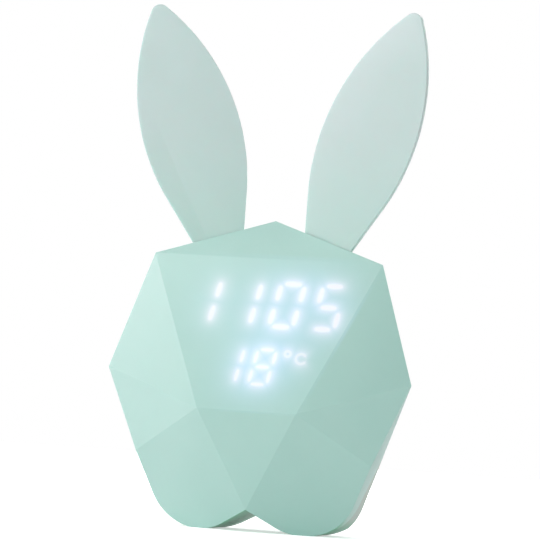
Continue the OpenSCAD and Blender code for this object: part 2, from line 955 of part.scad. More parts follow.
// What is sunk into each cap: a dot, a minus, a plus and a ring
module button_sign(k) {
    if (k == 0)
        rod(button_x(k), button_h, sign_dot_r, sign_floor, back_y);
    if (k == 1 || k == 2)
        stadium(button_x(k), button_h, sign_l, sign_w, sign_floor, back_y);
    if (k == 2)
        stadium(button_x(k), button_h, sign_w, sign_l, sign_floor, back_y);
    if (k == 3)
        ring(button_x(k), button_h, sign_ring_r, sign_w, sign_floor, back_y);
}

module button(k) {
    color(milk)
        difference() {
            union() {
                rod(button_x(k), button_h, button_d / 2 + cap_lip, cap_under, cap_under + cap_t);
                rod(button_x(k), button_h, button_d / 2, cap_under, back_y - cap_in);
            }
            button_sign(k);
        }
}

/* Slide switch */
slider_x = 18;
slider_w = 4;
slider_high = 2.2;
switch_body_w = 12;
switch_body_h = 5.6;
switch_body_t = 4.6;
slider_top = board_back + switch_body_t;
groove_t = 2.5;
groove_gap = 0.3;
groove_side = 0.2;
knob_in = 0.5;
flange_w = 0.7;
flange_h = 0.8;
flange_t = 1;
flange_gap = 0.6;
module power_switch() {
    color(steel)
        difference() {
            block(slider_x, socket_h, switch_body_w, switch_body_h, board_back, slider_top);
            block(slider_x, socket_h, slider_w + slider_travel + 2 * groove_gap,
                slider_high + 2 * groove_side, slider_top - groove_t, slider_top + 1);
        }
}

module power_slider() {
    at = slider_x - slider_travel / 2;
    color(black) {
        block(at, socket_h, slider_w, slider_high, slider_top - groove_t + groove_gap, back_y - knob_in);
        block(at, socket_h, slider_w + 2 * flange_w, slider_high + 2 * flange_h,
            inner_back - flange_gap - flange_t, inner_back - flange_gap);
    }
}

/* Night light */
night_led_at = 5;
night_leds = [[0, 0], [1, 0], [-1, 0], [0, 1], [0, -1]] * night_led_at;
night_led_w = 2.8;
night_led_t = 1.6;
module night_light_leds() {
    color([1, 0.95, 0.75])
        for (p = night_leds)
            block(p.x, light_h + p.y, night_led_w, night_led_w, board_back, board_back + night_led_t);
}

dish_low_r = 8;
dish_t = 1;
diffuser_t = 0.8;
diffuser_gap = 0.3;
diffuser_back = inner_back - diffuser_gap;
dish_top = diffuser_back - diffuser_t - fit_gap;
module light_reflector() {
    depth = dish_top - board_back - fit_gap;
    color(white)
        translate([0, dish_top, light_h])
            rotate([90, 0, 0])
                rotate_extrude()
                    polygon([[light_d / 2, 0], [dish_low_r + dish_t, depth],
                        [dish_low_r, depth], [light_d / 2 - dish_t, 0]]);
}

module light_diffuser() {
    color([0.95, 0.95, 0.93, 0.7])
        rod(0, light_h, light_d / 2, diffuser_back - diffuser_t, diffuser_back);
}

/* Fasteners and pads */
module case_screws() {
    cross_l = screw_head_r * 1.2;
    cross_at = seat_y + screw_head_t / 2;
    color(steel)
        for (p = case_places)
            difference() {
                union() {
                    rod(p.x, p.y, screw_r, seat_y - screw_l, seat_y);
                    rod(p.x, p.y, screw_head_r, seat_y, seat_y + screw_head_t);
                }
                block(p.x, p.y, cross_l, cross_w, cross_at, cross_at + screw_head_t);
                block(p.x, p.y, cross_w, cross_l, cross_at, cross_at + screw_head_t);
            }
}

pad_start = seam + pad_l;
pad_end = back_y - heel_cut - pad_l;
module pad_shape(grow, z1) {
    for (side = [-1, 1])
        translate([side * foot_c.x, pad_start + pad_w / 2, 0])
            linear_extrude(height = z1)
                union() {
                    circle(pad_w / 2 + grow);
                    translate([0, pad_end - pad_start - pad_w])
                        circle(pad_w / 2 + grow);
                    translate([-pad_w / 2 - grow, 0])
                        square([pad_w + 2 * grow, pad_end - pad_start - pad_w]);
                }
}

module foot_pads() {
    color(black)
        pad_shape(0, pad_t);
}

/* Shells */
module face_skin() {
    color(mint)
        difference() {
            intersection() {
                gem(0);
                before(seam);
            }
            gem(skin_t);
            for (side = [-1, 1])
                at_edge(side)
                    tang(slot_gap, span);
        }
}

module front_bosses() {
    for (p = case_places)
        rod(p.x, p.y, boss_r, -span, seam);
    at_display()
        display_holes(display_boss_r, -span, display_board_y - bore_gap);
    for (side = [-1, 1]) {
        clamp_places(side)
            translate([0, 0, -span])
                cylinder(h = span + clamp_y - bore_gap, r = clamp_boss_r);
        at_edge(side)
            translate([tang_at - tang_w / 2 - fit_rib, -span / 10, clamp_low])
                cube([tang_w + 2 * fit_rib, span / 10, tang_l - clamp_seat_l]);
    }
}

module front_shell() {
    color(white)
        difference() {
            union() {
                difference() {
                    gem(shell_in);
                    gem(shell_out);
                }
                intersection() {
                    gem(boss_in);
                    front_bosses();
                }
            }
            beyond(seam - fit_gap);
            for (side = [-1, 1])
                at_edge(side)
                    tang(slot_gap, span);
            for (side = [-1, 1])
                clamp_places(side)
                    translate([0, 0, clamp_y + clamp_t - clamp_screw_l - clamp_bore_end])
                        cylinder(h = span, r = clamp_screw_r + bore_gap);
            for (p = case_places)
                rod(p.x, p.y, screw_r + bore_gap, seat_y - screw_l - bore_end, span);
            at_display() {
                display_holes(display_screw_r + bore_gap,
                    display_board_y + board_t - display_screw_l - bore_end, span);
                fields(housing_rim - window_step, 0, span);
                fields(housing_rim + fit_gap, film_y - fit_gap, span);
            }
        }
}

lip_in = shell_out + fit_gap;
lip_root = 2;
lip_gap = 0.4;
module rear_rim() {
    intersection() {
        difference() {
            gem(lip_in);
            gem(lip_in + lip_t);
        }
        before(seam + lip_root);
        beyond(seam - lip_l);
    }
    intersection() {
        difference() {
            gem(back_t / 2);
            gem(lip_in + lip_t);
        }
        before(seam + lip_root);
        beyond(seam);
    }
}

grille_rings = [[1, 0], [6, 1], [12, 2]];
grille_pitch = speaker_r * 0.3;
panel_wall = 1;
plug_room = 0.6;
module rear_openings() {
    stadium(0, button_h, panel_w, panel_h, panel_floor, span);
    for (k = [0:3])
        rod(button_x(k), button_h, button_d / 2 + cap_gap, inner_back - 6, span);
    for (g = grille_rings, k = [1:g[0]])
        rod(g[1] * grille_pitch * cos(360 * k / g[0]),
            speaker_h + g[1] * grille_pitch * sin(360 * k / g[0]), grille_d / 2, inner_back - 1, span);
    stadium(0, socket_h, socket_w + 2 * plug_room, socket_t + 2 * plug_room, inner_back - 1, span);
    block(slider_x, socket_h, slider_w + slider_travel + 2 * groove_gap,
        slider_high + 2 * groove_gap, inner_back - 1, span);
    for (k = [-1:1])
        stadium(sensor_x, socket_h + k * vent_pitch, vent_w, vent_t, inner_back - 1, span);
}

module rear_shell() {
    color(milk)
        difference() {
            union() {
                difference() {
                    gem(0);
                    gem(back_t);
                    before(seam);
                }
                difference() {
                    rear_rim();
                    for (side = [-1, 1])
                        at_edge(side)
                            translate([tang_at - clamp_pitch / 2, 0, clamp_low] - clamp_room)
                                cube([clamp_pitch + 2 * clamp_room.x, clamp_y + clamp_t + 2 * clamp_room.y,
                                    clamp_room.z - clamp_low - lip_keep]);
                    for (p = case_places)
                        rod(p.x, p.y, boss_r + lip_gap, -span, seam);
                    for (side = [-1, 1])
                        at_edge(side)
                            tang(slot_gap, span);
                }
                intersection() {
                    gem(back_t / 2);
                    union() {
                        for (p = case_places)
                            rod(p.x, p.y, tube_r, seam, span);
                        for (p = board_posts)
                            rod(p.x, p.y, post_r, board_back, span);
                        difference() {
                            rod(0, speaker_h, speaker_r + ring_gap + ring_t, speaker_back - ring_l, span);
                            rod(0, speaker_h, speaker_r + ring_gap, 0, inner_back);
                        }
                        stadium(0, button_h, panel_w + 2 * panel_wall, panel_h + 2 * panel_wall,
                            panel_under, span);
                    }
                }
            }
            for (p = case_places) {
                rod(p.x, p.y, screw_r + head_gap, -span, span);
                rod(p.x, p.y, screw_head_r + head_gap, seat_y, span);
            }
            for (p = board_posts)
                rod(p.x, p.y, post_screw_r + bore_gap, board_back - 1,
                    board_back + post_screw_l + bore_end);
            rear_openings();
            translate([0, 0, -1])
                pad_shape(fit_gap / 2, pad_t + 1);
        }
}

face_skin();
front_shell();
rear_shell();
ear(-1);  // ear_left
ear(1);  // ear_right
ear_clamp(-1);  // ear_clamp_left
ear_clamp(1);  // ear_clamp_right
ear_screws();
display_film();
segment_housing();
lit_segments();
dark_segments();
display_board();
display_leds();
display_screws();
ribbon_cable();
main_board();
board_screws();
controller_chip();
clock_crystal();
temperature_sensor();
battery();
battery_tape();
battery_plug();
battery_leads();
charge_socket();
speaker();
speaker_gasket();
switch_bodies();
button(0);  // mode_button
button(2);  // up_button
button(1);  // down_button
button(3);  // light_button
plunger(0);  // mode_plunger
plunger(2);  // up_plunger
plunger(1);  // down_plunger
plunger(3);  // light_plunger
power_switch();
power_slider();
night_light_leds();
light_reflector();
light_diffuser();
case_screws();
foot_pads();
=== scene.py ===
import math

import bpy
from mathutils import Matrix, Vector

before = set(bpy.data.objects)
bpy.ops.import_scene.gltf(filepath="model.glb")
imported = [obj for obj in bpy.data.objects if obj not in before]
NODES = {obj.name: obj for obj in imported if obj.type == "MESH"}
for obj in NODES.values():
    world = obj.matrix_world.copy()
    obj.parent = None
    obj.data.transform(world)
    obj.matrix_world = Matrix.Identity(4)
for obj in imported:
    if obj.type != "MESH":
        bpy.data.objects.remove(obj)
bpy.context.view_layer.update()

# A bedside alarm clock with two tall ears: a faceted mint silicone face over a milky case,
# white numerals that shine through the front facet, and a night light inside the back.
# Metres. X to the right, Y to the back, Z up.

MM = 0.001
WHITE = (1.0, 1.0, 1.0, 1.0)
BLACK = (0.0, 0.0, 0.0, 1.0)

# ---------------------------------------------------------------- shader nodes

# The colour mix node's sockets: it has one set for each kind of data
MIX_FACTOR, MIX_FIRST, MIX_SECOND, MIX_RESULT = 0, 6, 7, 2
# Which output of a vector math node holds a vector, and which a length or a dot product
AS_VECTOR, AS_NUMBER = 0, 1
BEVEL_SAMPLES = 4


class Tree:
    """Short names for making and joining the nodes of one shader tree."""

    def __init__(self, tree):
        self.tree = tree

    def add(self, kind, **settings):
        node = self.tree.nodes.new(kind)
        for key, value in settings.items():
            setattr(node, key, value)
        return node

    def feed(self, socket, value):
        """Links another socket into this one, or sets a plain value."""
        if isinstance(value, bpy.types.NodeSocket):
            self.tree.links.new(value, socket)
        else:
            socket.default_value = value

    def wired(self, kind, values, **settings):
        """A new node with its first sockets fed in order."""
        node = self.add(kind, **settings)
        for socket, value in zip(node.inputs, values):
            self.feed(socket, value)
        return node

    def math(self, operation, *values):
        return self.wired("ShaderNodeMath", values, operation=operation).outputs[0]

    def plus(self, first, second):
        return self.math("ADD", first, second)

    def minus(self, first, second):
        return self.math("SUBTRACT", first, second)

    def times(self, first, second):
        return self.math("MULTIPLY", first, second)

    def over(self, first, second):
        return self.math("DIVIDE", first, second)

    def at_least_zero(self, value):
        return self.math("MAXIMUM", value, 0.0)

    def length(self, first, second):
        """The length of what has these two sides at a right angle."""
        return self.math("SQRT", self.plus(self.times(first, first), self.times(second, second)))

    def vector(self, operation, *values, out=AS_VECTOR):
        return self.wired("ShaderNodeVectorMath", values, operation=operation).outputs[out]

    def axis(self, vector, name):
        """One of a vector's parts: X, Y or Z."""
        return self.wired("ShaderNodeSeparateXYZ", (vector,)).outputs[name]

    def mix(self, factor, first, second):
        node = self.add("ShaderNodeMix", data_type="RGBA")
        self.feed(node.inputs[MIX_FACTOR], factor)
        self.feed(node.inputs[MIX_FIRST], first)
        self.feed(node.inputs[MIX_SECOND], second)
        return node.outputs[MIX_RESULT]

    def range(self, value, low, high, to_low=0.0, to_high=1.0):
        """The value's way from low to high, eased at both ends."""
        values = (value, low, high, to_low, to_high)
        return self.wired("ShaderNodeMapRange", values, interpolation_type="SMOOTHSTEP").outputs[0]

    def noise(self, place, scale, detail, rough):
        node = self.add("ShaderNodeTexNoise")
        for label, value in (("Vector", place), ("Scale", scale), ("Detail", detail),
                             ("Roughness", rough)):
            self.feed(node.inputs[label], value)
        return node.outputs[0]

    def place(self):
        return self.add("ShaderNodeTexCoord").outputs["Object"]

    def normal(self, label="Normal"):
        return self.add("ShaderNodeNewGeometry").outputs[label]

    def rounded_normal(self, radius):
        """The surface's normal as if its edges had this radius in metres."""
        node = self.add("ShaderNodeBevel", samples=BEVEL_SAMPLES)
        self.feed(node.inputs["Radius"], radius)
        return node.outputs[0]

    def group(self, group, **values):
        node = self.add("ShaderNodeGroup", node_tree=group)
        for name, value in values.items():
            self.feed(node.inputs[name.replace("_", " ")], value)
        return node.outputs


def new_group(name, inputs, outputs):
    """An empty node group: itself, its tree helper, what it is given and the result it feeds."""
    group = bpy.data.node_groups.new(name, "ShaderNodeTree")
    for direction, sockets in (("INPUT", inputs), ("OUTPUT", outputs)):
        for label, kind, value in sockets:
            socket = group.interface.new_socket(
                label, in_out=direction, socket_type="NodeSocket" + kind)
            if value is not None:
                socket.default_value = value
    tree = Tree(group)
    given = tree.add("NodeGroupInput").outputs
    result = tree.add("NodeGroupOutput").inputs
    return group, tree, given, result


def srgb(red, green, blue):
    """A colour written as 0 to 255, as the linear values that shaders take."""
    def linear(part):
        part /= 255
        return part / 12.92 if part <= 0.04045 else ((part + 0.055) / 1.055) ** 2.4
    return (linear(red), linear(green), linear(blue), 1.0)


# ---------------------------------------------------------------- shared surface effects

# Where most of a noise's values lie
NOISE_SPREAD = (0.3, 0.7)
# The coarse grain's scale against the fine grain's, and their shares in the height
COARSE_SCALE = 0.31
FINE_SHARE, COARSE_SHARE = 0.6, 0.4
# How far the rounded normal leans from the flat's, as 1 less the cosine, where wear starts and
# where it is full, and the noise values between which worn patches fade in
EDGE_LEAN = (0.02, 0.15)
WORN_PATCHES = (0.35, 0.65)
# Specks of dust to the metre, the noise values between which they fade in, and how far up a
# surface faces where dust starts to lie and where it lies in full
DUST_SCALE = 900.0
DUST_SPECKS = (0.45, 0.75)
DUST_LEVEL = (0.2, 1.0)
# How far down a surface faces where the painted shade starts to darken its colour and where it is
# deepest
PAINTED_SHADE_FACING = (-0.6, -0.85)


def make_surface_grain():
    """Fine moulded grain with slow clouding: a height, the fine grain's mask and the clouds'."""
    group, tree, given, result = new_group(
        "surface_grain",
        [("Size", "Float", 0.4), ("Cloud Size", "Float", 20.0)],
        [("Height", "Float", None), ("Fine", "Float", None), ("Cloud", "Float", None)])
    place = tree.place()
    grain_scale = tree.over(1 / MM, given["Size"])
    cloud_scale = tree.over(1 / MM, given["Cloud Size"])
    fine = tree.noise(place, grain_scale, detail=2.0, rough=0.6)
    coarse = tree.noise(place, tree.times(grain_scale, COARSE_SCALE), detail=3.0, rough=0.55)
    cloud = tree.noise(place, cloud_scale, detail=4.0, rough=0.5)
    tree.feed(result["Height"],
              tree.plus(tree.times(fine, FINE_SHARE), tree.times(coarse, COARSE_SHARE)))
    tree.feed(result["Fine"], tree.range(fine, *NOISE_SPREAD))
    tree.feed(result["Cloud"], tree.range(cloud, *NOISE_SPREAD))
    return group


def make_edge_wear():
    """Where edges get rubbed: 1 beside an edge, 0 on flats, in patches."""
    group, tree, given, result = new_group(
        "edge_wear",
        [("Width", "Float", 0.3), ("Patches", "Float", 6.0)],
        [("Mask", "Float", None)])
    rounded = tree.rounded_normal(tree.times(given["Width"], MM))
    flat = tree.normal("True Normal")
    edge = tree.minus(1.0, tree.vector("DOT_PRODUCT", rounded, flat, out=AS_NUMBER))
    patch_scale = tree.over(1 / MM, given["Patches"])
    patch = tree.noise(tree.place(), patch_scale, detail=3.0, rough=0.6)
    tree.feed(result["Mask"],
              tree.times(tree.range(edge, *EDGE_LEAN), tree.range(patch, *WORN_PATCHES)))
    return group


def make_settled_dust():
    """Light dust that settles on what faces up."""
    group, tree, given, result = new_group(
        "settled_dust", [("Amount", "Float", 0.3)], [("Mask", "Float", None)])
    specks = tree.noise(tree.place(), DUST_SCALE, detail=5.0, rough=0.7)
    upward = tree.range(tree.axis(tree.normal(), "Z"), *DUST_LEVEL)
    settled = tree.times(upward, tree.range(specks, *DUST_SPECKS))
    tree.feed(result["Mask"], tree.times(settled, given["Amount"]))
    return group


def make_painted_underside_shade():
    """Where a piece faces down: the mask for painted shade that darkens and deepens its colour."""
    group, tree, _, result = new_group("painted_underside_shade", [], [("Mask", "Float", None)])
    tree.feed(result["Mask"], tree.range(tree.axis(tree.normal(), "Z"), *PAINTED_SHADE_FACING))
    return group


def make_brushed_lines():
    """Fine drawn lines along one axis, for steel and foil."""
    group, tree, given, result = new_group(
        "brushed_lines",
        [("Stretch", "Vector", (1.0, 1.0, 12.0)), ("Width", "Float", 0.12)],
        [("Lines", "Float", None)])
    stretched = tree.vector("MULTIPLY", tree.place(), given["Stretch"])
    line_scale = tree.over(1 / MM, given["Width"])
    tree.feed(result["Lines"], tree.noise(stretched, line_scale, detail=2.0, rough=0.5))
    return group


surface_grain = make_surface_grain()
edge_wear = make_edge_wear()
settled_dust = make_settled_dust()
painted_underside_shade = make_painted_underside_shade()
brushed_lines = make_brushed_lines()

# ---------------------------------------------------------------- numerals that shine through

# The front facet: its lower edge at the chin, and how far it leans back
CHIN = Vector((0, -29, 45.2)) * MM
FACET_TILT = math.atan2(18.6, 58.6)
# The glow is full up to the second distance from the facet's plane and gone at the first (mm)
OFF_FACET = (0.6, 0.15)

# How far the digits and their upright bars lean to the right
LEAN = math.radians(8.8)
BAR_LEAN = math.radians(8.5)
# The bars of a digit: place across and up from -1 to 1, and whether the bar stands upright
UPRIGHT_UP = 0.55
BARS = [(0, 1, False), (1, UPRIGHT_UP, True), (1, -UPRIGHT_UP, True), (0, -1, False),
        (-1, -UPRIGHT_UP, True), (-1, UPRIGHT_UP, True), (0, 0, False)]
LIT = {0: (0, 1, 2, 3, 4, 5), 1: (1, 2), 5: (0, 2, 3, 5, 6), 8: (0, 1, 2, 3, 4, 5, 6)}
# How much shorter than the digit's side a bar is (mm)
BAR_GAP = 2.4

# The time on the facet: middle, place up, step from digit to digit, half of what the middle step
# has on top, and a digit's width and height (mm)
TIME_X, TIME_UP, TIME_STEP, TIME_GAP, TIME_W, TIME_H = 1.75, 42.9, 15.8, 0.5, 8.8, 17.5
# The 0 is a little wider and stands a little to the left
ZERO_WIDER, ZERO_LEFT = 0.3, 0.2
# The temperature's middle, place up, step, width and height (mm)
DEGREES_X, DEGREES_UP, DEGREES_STEP, DEGREES_W, DEGREES_H = -2.4, 17.7, 12.4, 7.1, 13.9
# A digit row's light: half thickness, power, and how much shorter than the bar at each end (mm)
TIME_LIGHT = (0.97, 1.0, 0.8)
DEGREES_LIGHT = (0.66, 0.95, 0.3)
# Each digit: value, place across and up, width and height, and the row's light
DIGITS = [
    (1, TIME_X - 1.5 * TIME_STEP - TIME_GAP, TIME_UP, TIME_W, TIME_H, TIME_LIGHT),
    (1, TIME_X - 0.5 * TIME_STEP - TIME_GAP, TIME_UP, TIME_W, TIME_H, TIME_LIGHT),
    (0, TIME_X - ZERO_LEFT + 0.5 * TIME_STEP + TIME_GAP, TIME_UP, TIME_W + ZERO_WIDER, TIME_H,
     TIME_LIGHT),
    (5, TIME_X + 1.5 * TIME_STEP + TIME_GAP, TIME_UP, TIME_W, TIME_H, TIME_LIGHT),
    (1, DEGREES_X - 0.5 * DEGREES_STEP, DEGREES_UP, DEGREES_W, DEGREES_H, DEGREES_LIGHT),
    (8, DEGREES_X + 0.5 * DEGREES_STEP, DEGREES_UP, DEGREES_W, DEGREES_H, DEGREES_LIGHT),
]
# The degree ring and the letter after it: place across and up, radius (mm) and half angle of the
# opening (radians), and the half thickness (mm) and power of their light
RINGS = [(12.75, 23.55, 1.05, 0.0), (18.1, 21.85, 1.95, 0.75)]
RING_THICK, RING_POWER = 0.5, 0.75

# A bar's white core fades out between these multiples of its half thickness
CORE_END, CORE_START = 1.6, 0.4
# The near and wide glow fall to about a third over these lengths (mm)
NEAR_FADE, WIDE_FADE = 1.9, 4.8
# How much a bar narrows at its ends (mm), and the largest multiple of that past the ends
TAPER = 0.3
TAPER_MOST = 1.5
# What the core, the near glow and the wide glow give to each colour channel
GLOW = (("Red", 0.1, 0.32, 0.03), ("Green", 0.065, 0.155, 0.04), ("Blue", 0.065, 0.185, 0.095))

LIGHT_SOCKETS = [("Core", "Float", 0.0), ("Near", "Float", 0.0), ("Wide", "Float", 0.0)]
STROKE_SOCKETS = [("Across", "Float", None), ("Up", "Float", None), ("Thick", "Float", 1.3),
                  ("Power", "Float", 1.0), ("X", "Float", 0.0), ("V", "Float", 0.0)]


def make_facet_place():
    """A point of the face as its place on the front facet in millimetres: across, up, depth."""
    group, tree, _, result = new_group(
        "facet_place", [],
        [("Across", "Float", None), ("Up", "Float", None), ("Depth", "Float", None)])
    moved = tree.vector("SCALE", tree.vector("SUBTRACT", tree.place(), CHIN))
    moved.node.inputs["Scale"].default_value = 1 / MM
    for label, axis in (("Across", (1, 0, 0)),
                        ("Up", (0, math.sin(FACET_TILT), math.cos(FACET_TILT))),
                        ("Depth", (0, math.cos(FACET_TILT), -math.sin(FACET_TILT)))):
        tree.feed(result[label], tree.vector("DOT_PRODUCT", moved, axis, out=AS_NUMBER))
    return group


def add_light(tree, given, result, distance):
    """Adds a stroke at this distance in millimetres to the core and the glow so far."""
    thick = given["Thick"]
    core = tree.range(distance, tree.times(thick, CORE_END), tree.times(thick, CORE_START))
    tree.feed(result["Core"], tree.math("MAXIMUM", core, given["Core"]))
    past = tree.at_least_zero(tree.minus(distance, thick))
    for label, fade, join in (("Near", NEAR_FADE, "MAXIMUM"), ("Wide", WIDE_FADE, "ADD")):
        falling = tree.math("EXPONENT", tree.times(past, -1 / fade))
        glow = tree.times(falling, given["Power"])
        tree.feed(result[label], tree.math(join, glow, given[label]))


def make_bar_light():
    """The light of one straight bar of a numeral, added to what the bars before it give."""
    group, tree, given, result = new_group(
        "bar_light",
        LIGHT_SOCKETS + STROKE_SOCKETS + [("Turn", "Float", 0.0), ("Half", "Float", 2.0)],
        LIGHT_SOCKETS)
    dx = tree.minus(given["Across"], given["X"])
    dv = tree.minus(given["Up"], given["V"])
    cosine = tree.math("COSINE", given["Turn"])
    sine = tree.math("SINE", given["Turn"])
    along = tree.plus(tree.times(dx, cosine), tree.times(dv, sine))
    aside = tree.minus(tree.times(dv, cosine), tree.times(dx, sine))
    past = tree.at_least_zero(tree.minus(tree.math("ABSOLUTE", along), given["Half"]))
    part = tree.over(along, given["Half"])
    narrower = tree.times(tree.math("MINIMUM", tree.times(part, part), TAPER_MOST), TAPER)
    add_light(tree, given, result, tree.plus(tree.length(past, aside), narrower))
    return group


def make_ring_light():
    """The light of one ring, open to the right by a half angle, added to what was before."""
    group, tree, given, result = new_group(
        "ring_light",
        LIGHT_SOCKETS + STROKE_SOCKETS + [("Radius", "Float", 1.0), ("Open", "Float", 0.0)],
        LIGHT_SOCKETS)
    dx = tree.minus(given["Across"], given["X"])
    dv = tree.minus(given["Up"], given["V"])
    radius = tree.length(dx, dv)
    away = tree.math("ABSOLUTE", tree.minus(radius, given["Radius"]))
    turned = tree.math("ABSOLUTE", tree.math("ARCTAN2", dv, dx))
    inside = tree.at_least_zero(tree.minus(given["Open"], turned))
    add_light(tree, given, result, tree.plus(away, tree.times(inside, radius)))
    return group


facet_place = make_facet_place()
bar_light = make_bar_light()
ring_light = make_ring_light()


def bars_of(digit, x, v, width, height, shorter):
    """The lit bars of a digit: centre, turn and half length of each bar's light."""
    for index in LIT[digit]:
        side, level, upright = BARS[index]
        up = level * height / 2
        length = (height / 2 if upright else width) - BAR_GAP
        turn = math.pi / 2 - BAR_LEAN if upright else 0.0
        yield x + side * width / 2 + up * math.tan(LEAN), v + up, turn, length / 2 - shorter


def strokes():
    """Every lit stroke of the numerals: its light's node group and that group's values."""
    for digit, across, up, width, height, (thick, power, shorter) in DIGITS:
        for x, v, turn, half in bars_of(digit, across, up, width, height, shorter):
            yield bar_light, dict(X=x, V=v, Turn=turn, Half=half, Thick=thick, Power=power)
    for x, v, radius, opening in RINGS:
        yield ring_light, dict(X=x, V=v, Radius=radius, Open=opening,
                               Thick=RING_THICK, Power=RING_POWER)


def make_numeral_light():
    """The light of the numerals through the silicone: white bars with a bluish glow."""
    group, tree, given, result = new_group(
        "numeral_light", [("Strength", "Float", 1.0)], [("Color", "Color", None)])
    place = tree.group(facet_place)
    light = {label: 0.0 for label, _, _ in LIGHT_SOCKETS}
    for stroke_light, values in strokes():
        added = tree.group(stroke_light, Across=place["Across"], Up=place["Up"], **values, **light)
        light = {label: added[label] for label in light}
    mixed = tree.add("ShaderNodeCombineColor")
    for channel, core, near, wide in GLOW:
        glow = tree.plus(tree.times(light["Core"], core), tree.times(light["Near"], near))
        glow = tree.plus(glow, tree.times(light["Wide"], wide))
        tree.feed(mixed.inputs[channel], tree.times(glow, given["Strength"]))
    on_facet = tree.range(tree.math("ABSOLUTE", place["Depth"]), *OFF_FACET)
    tree.feed(result["Color"], tree.mix(on_facet, BLACK, mixed.outputs[0]))
    return group


numeral_light = make_numeral_light()

# ---------------------------------------------------------------- finishes

# How deep a bump of full strength is: moulded grain, and finer marks in metal, lacquer and resin
GRAIN_DEPTH = 0.2 * MM
FINE_DEPTH = 0.1 * MM
# The radius of a moulded edge in shading
MOULDED_EDGE = 0.3 * MM

DUST_ON_SILICONE = srgb(226, 234, 232)
DUST_ON_PLASTIC = srgb(205, 205, 200)
# The silicone's painted shade: a darker, deeper green where it faces down
SILICONE_PAINTED_SHADE = srgb(84, 186, 146)
# How far light gets below the silicone: each channel's share, and the depth at full clearness
SILICONE_SHARES = (0.6, 1.0, 0.9)
SILICONE_DEPTH = 2.7 * MM
# The heights between which an ear takes on its root's colour
ROOT_FROM, ROOT_TO = 0.16, 0.11
# How much lighter a rubbed edge is than the plastic, of 255
RUBBED_LIGHTER = 26

# The board: cells and dots to the metre, how far a track reaches from a cell's edge and a pad
# from a dot's middle, and the colours of a track, of the lacquer beside it and of tin
TRACK_SCALE, PAD_SCALE = 260.0, 180.0
TRACK_EDGE = (0.05, 0.09)
PAD_EDGE = (0.16, 0.12)
TRACK_GREEN, BOARD_GREEN = srgb(52, 128, 76), srgb(28, 92, 54)
TIN = srgb(205, 205, 200)
TIN_METALLIC = 0.9

# Lit resin's paler cloud, without and with light
RESIN_CLOUD, RESIN_GLOW = srgb(225, 235, 240), srgb(235, 246, 255)

# The flat cable: waves to the metre, where a conductor ends, and colours of skin and conductor
CONDUCTOR_SCALE = 320.0
CONDUCTOR_EDGE = (0.35, 0.65)
CABLE_WHITE, CONDUCTOR_GREY = srgb(236, 236, 232), srgb(196, 200, 204)


class Finish:
    """A material with its own shader, and the tree helper to wire it."""

    def __init__(self, name, roughness, metallic=0.0, **sockets):
        self.material = bpy.data.materials.new(name)
        self.material.use_nodes = True
        self.tree = Tree(self.material.node_tree)
        self.shader = self.material.node_tree.nodes["Principled BSDF"]
        self.feed("Roughness", roughness)
        self.feed("Metallic", metallic)
        for label, value in sockets.items():
            self.feed(label.replace("_", " "), value)

    def feed(self, label, value):
        self.tree.feed(self.shader.inputs[label], value)

    def bump(self, height, depth, strength, edge=0.0):
        """Raises the surface by this height, over edges rounded to a radius in metres."""
        node = self.tree.add("ShaderNodeBump")
        for label, value in (("Strength", strength), ("Distance", depth), ("Height", height)):
            self.tree.feed(node.inputs[label], value)
        if edge:
            self.tree.feed(node.inputs["Normal"], self.tree.rounded_normal(edge))
        self.feed("Normal", node.outputs[0])


def silicone(name, color, deep, root=None, shines=False, clear=0.3):
    """Satin mint silicone: fine grain, slow clouding, a little dust, and painted shade, a deeper
    green, where it faces down.
    An ear takes on another colour towards its root, and numerals can shine through the face."""
    finish = Finish(name, roughness=0.5, Subsurface_Weight=clear,
                    Subsurface_Radius=SILICONE_SHARES, Subsurface_Scale=SILICONE_DEPTH * clear,
                    Sheen_Weight=0.1, Sheen_Roughness=0.5)
    tree = finish.tree
    marks = tree.group(surface_grain, Size=0.35, Cloud_Size=26.0)
    base = tree.mix(marks["Cloud"], srgb(*color), srgb(*deep))
    if root:
        near_root = tree.range(tree.axis(tree.place(), "Z"), ROOT_FROM, ROOT_TO)
        base = tree.mix(near_root, base, srgb(*root))
    base = tree.mix(tree.group(settled_dust, Amount=0.12)["Mask"], base, DUST_ON_SILICONE)
    # Painted shade: the colour darkens to a deep green where the silicone faces down
    finish.feed("Base Color", tree.mix(tree.group(painted_underside_shade)["Mask"], base, SILICONE_PAINTED_SHADE))
    finish.feed("Roughness", tree.range(marks["Fine"], 0.0, 1.0, to_low=0.4, to_high=0.48))
    finish.bump(marks["Height"], GRAIN_DEPTH, strength=0.12)
    if shines:
        finish.feed("Emission Color", tree.group(numeral_light)["Color"])
        finish.feed("Emission Strength", 1.0)
    return finish.material


def moulded(name, color, shade, roughness=0.4, size=0.5, bump=0.1, wear=0.3, painted_shade=None,
            **sockets):
    """Moulded plastic or rubber: grain, clouding, paler edges, dust, and at times painted shade
    where it faces down.
    """
    finish = Finish(name, roughness=roughness, **sockets)
    tree = finish.tree
    marks = tree.group(surface_grain, Size=size, Cloud_Size=18.0)
    base = tree.mix(marks["Cloud"], srgb(*color), srgb(*shade))
    rubbed = tree.group(edge_wear, Width=0.3, Patches=4.0)["Mask"]
    lighter = tuple(min(255, part + RUBBED_LIGHTER) for part in color)
    base = tree.mix(tree.times(rubbed, wear), base, srgb(*lighter))
    base = tree.mix(tree.group(settled_dust, Amount=0.25)["Mask"], base, DUST_ON_PLASTIC)
    # Painted shade: a darker colour where the piece faces down
    if painted_shade:
        base = tree.mix(tree.group(painted_underside_shade)["Mask"], base, srgb(*painted_shade))
    finish.feed("Base Color", base)
    finish.feed("Roughness", tree.range(marks["Fine"], 0.0, 1.0,
                                        to_low=roughness - 0.05, to_high=roughness + 0.08))
    finish.bump(marks["Height"], GRAIN_DEPTH, strength=bump, edge=MOULDED_EDGE)
    return finish.material


